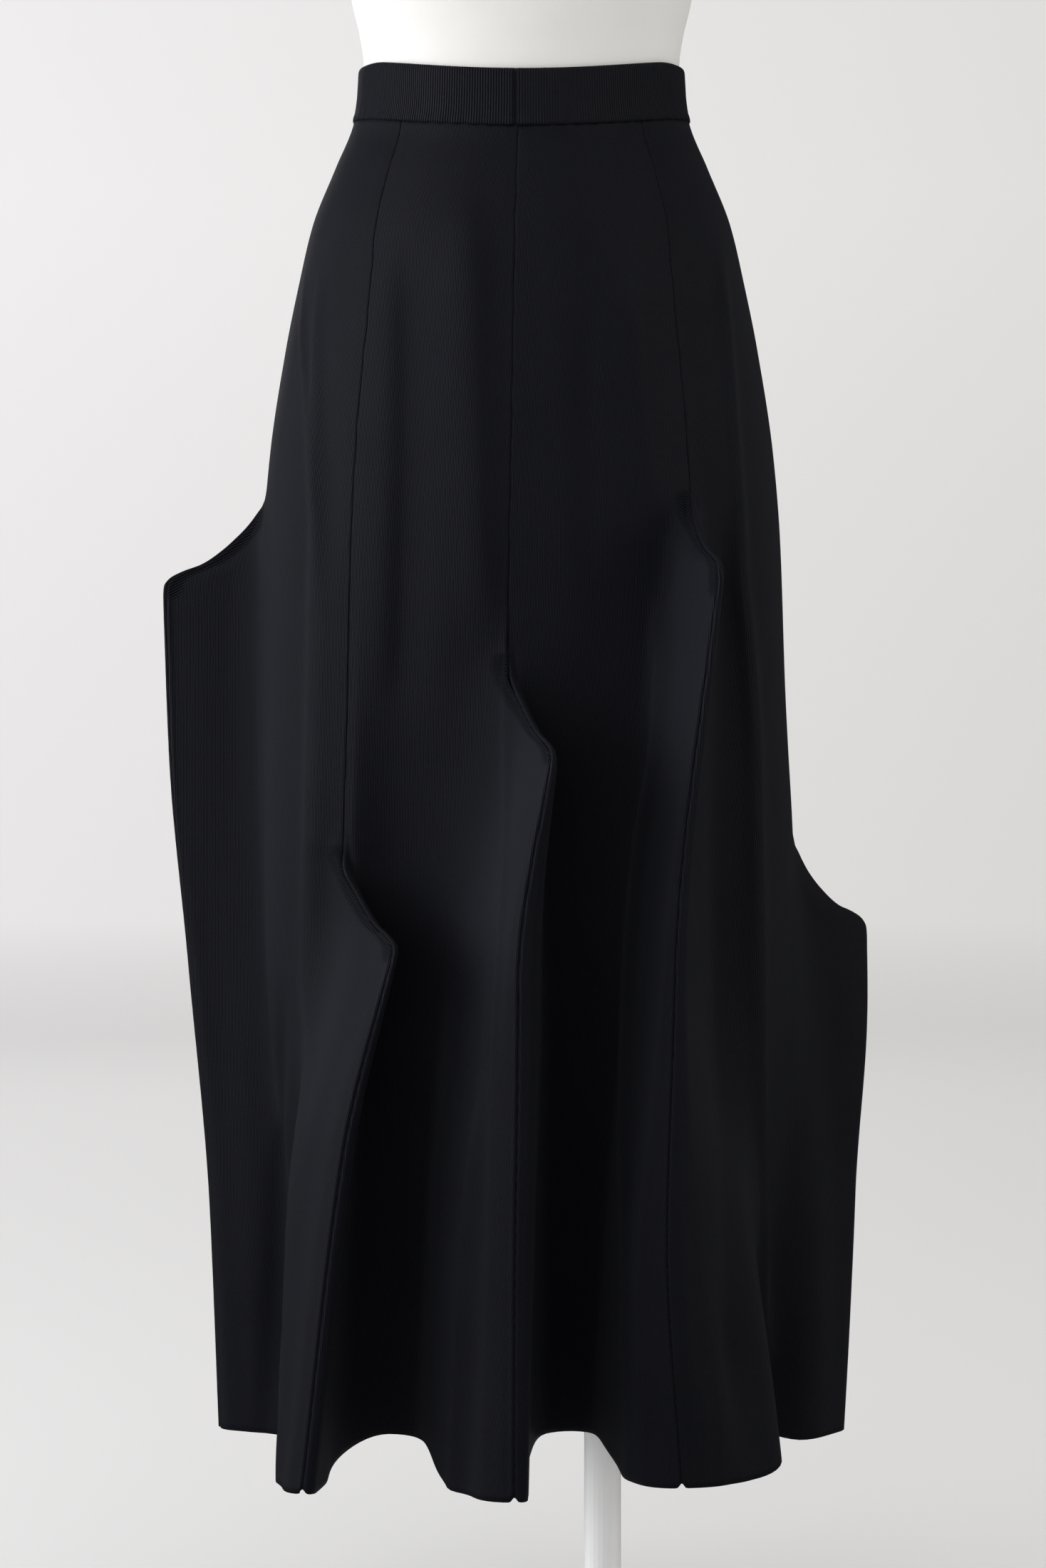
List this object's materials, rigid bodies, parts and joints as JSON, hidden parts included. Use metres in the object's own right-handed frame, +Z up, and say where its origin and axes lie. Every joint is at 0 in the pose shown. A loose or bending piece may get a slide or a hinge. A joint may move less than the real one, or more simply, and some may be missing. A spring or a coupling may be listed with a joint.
{
  "type": "draped skirt on a dress form",
  "caption": "Long knit skirt of flared gores whose stepped seams stand out as fins and open into folds at the hem, worn on a limbless dress form on a pole stand.",
  "frame": {"origin": "on the floor, on the underside of the base, below the middle of the waist", "axes": "+Z up, -Y to the front of the skirt, +X to the viewer's right seen from the front"},
  "size_m": [0.4865, 0.4436, 1.53],
  "materials": {
    "black_knit": "matte fine-ribbed double knit",
    "form_cover": "smooth white stretch cover",
    "stand_metal": "satin white"
  },
  "bodies": {
    "root": {"gore_front_side_left": "black_knit", "gore_front_left": "black_knit", "gore_front_right": "black_knit", "gore_front_side_right": "black_knit", "gore_back_side_right": "black_knit", "gore_back_right": "black_knit", "gore_back_left": "black_knit", "gore_back_side_left": "black_knit", "waistband": "black_knit", "form_torso": "form_cover", "pole": "stand_metal", "base_plate": "stand_metal"}
  },
  "joints": []
}
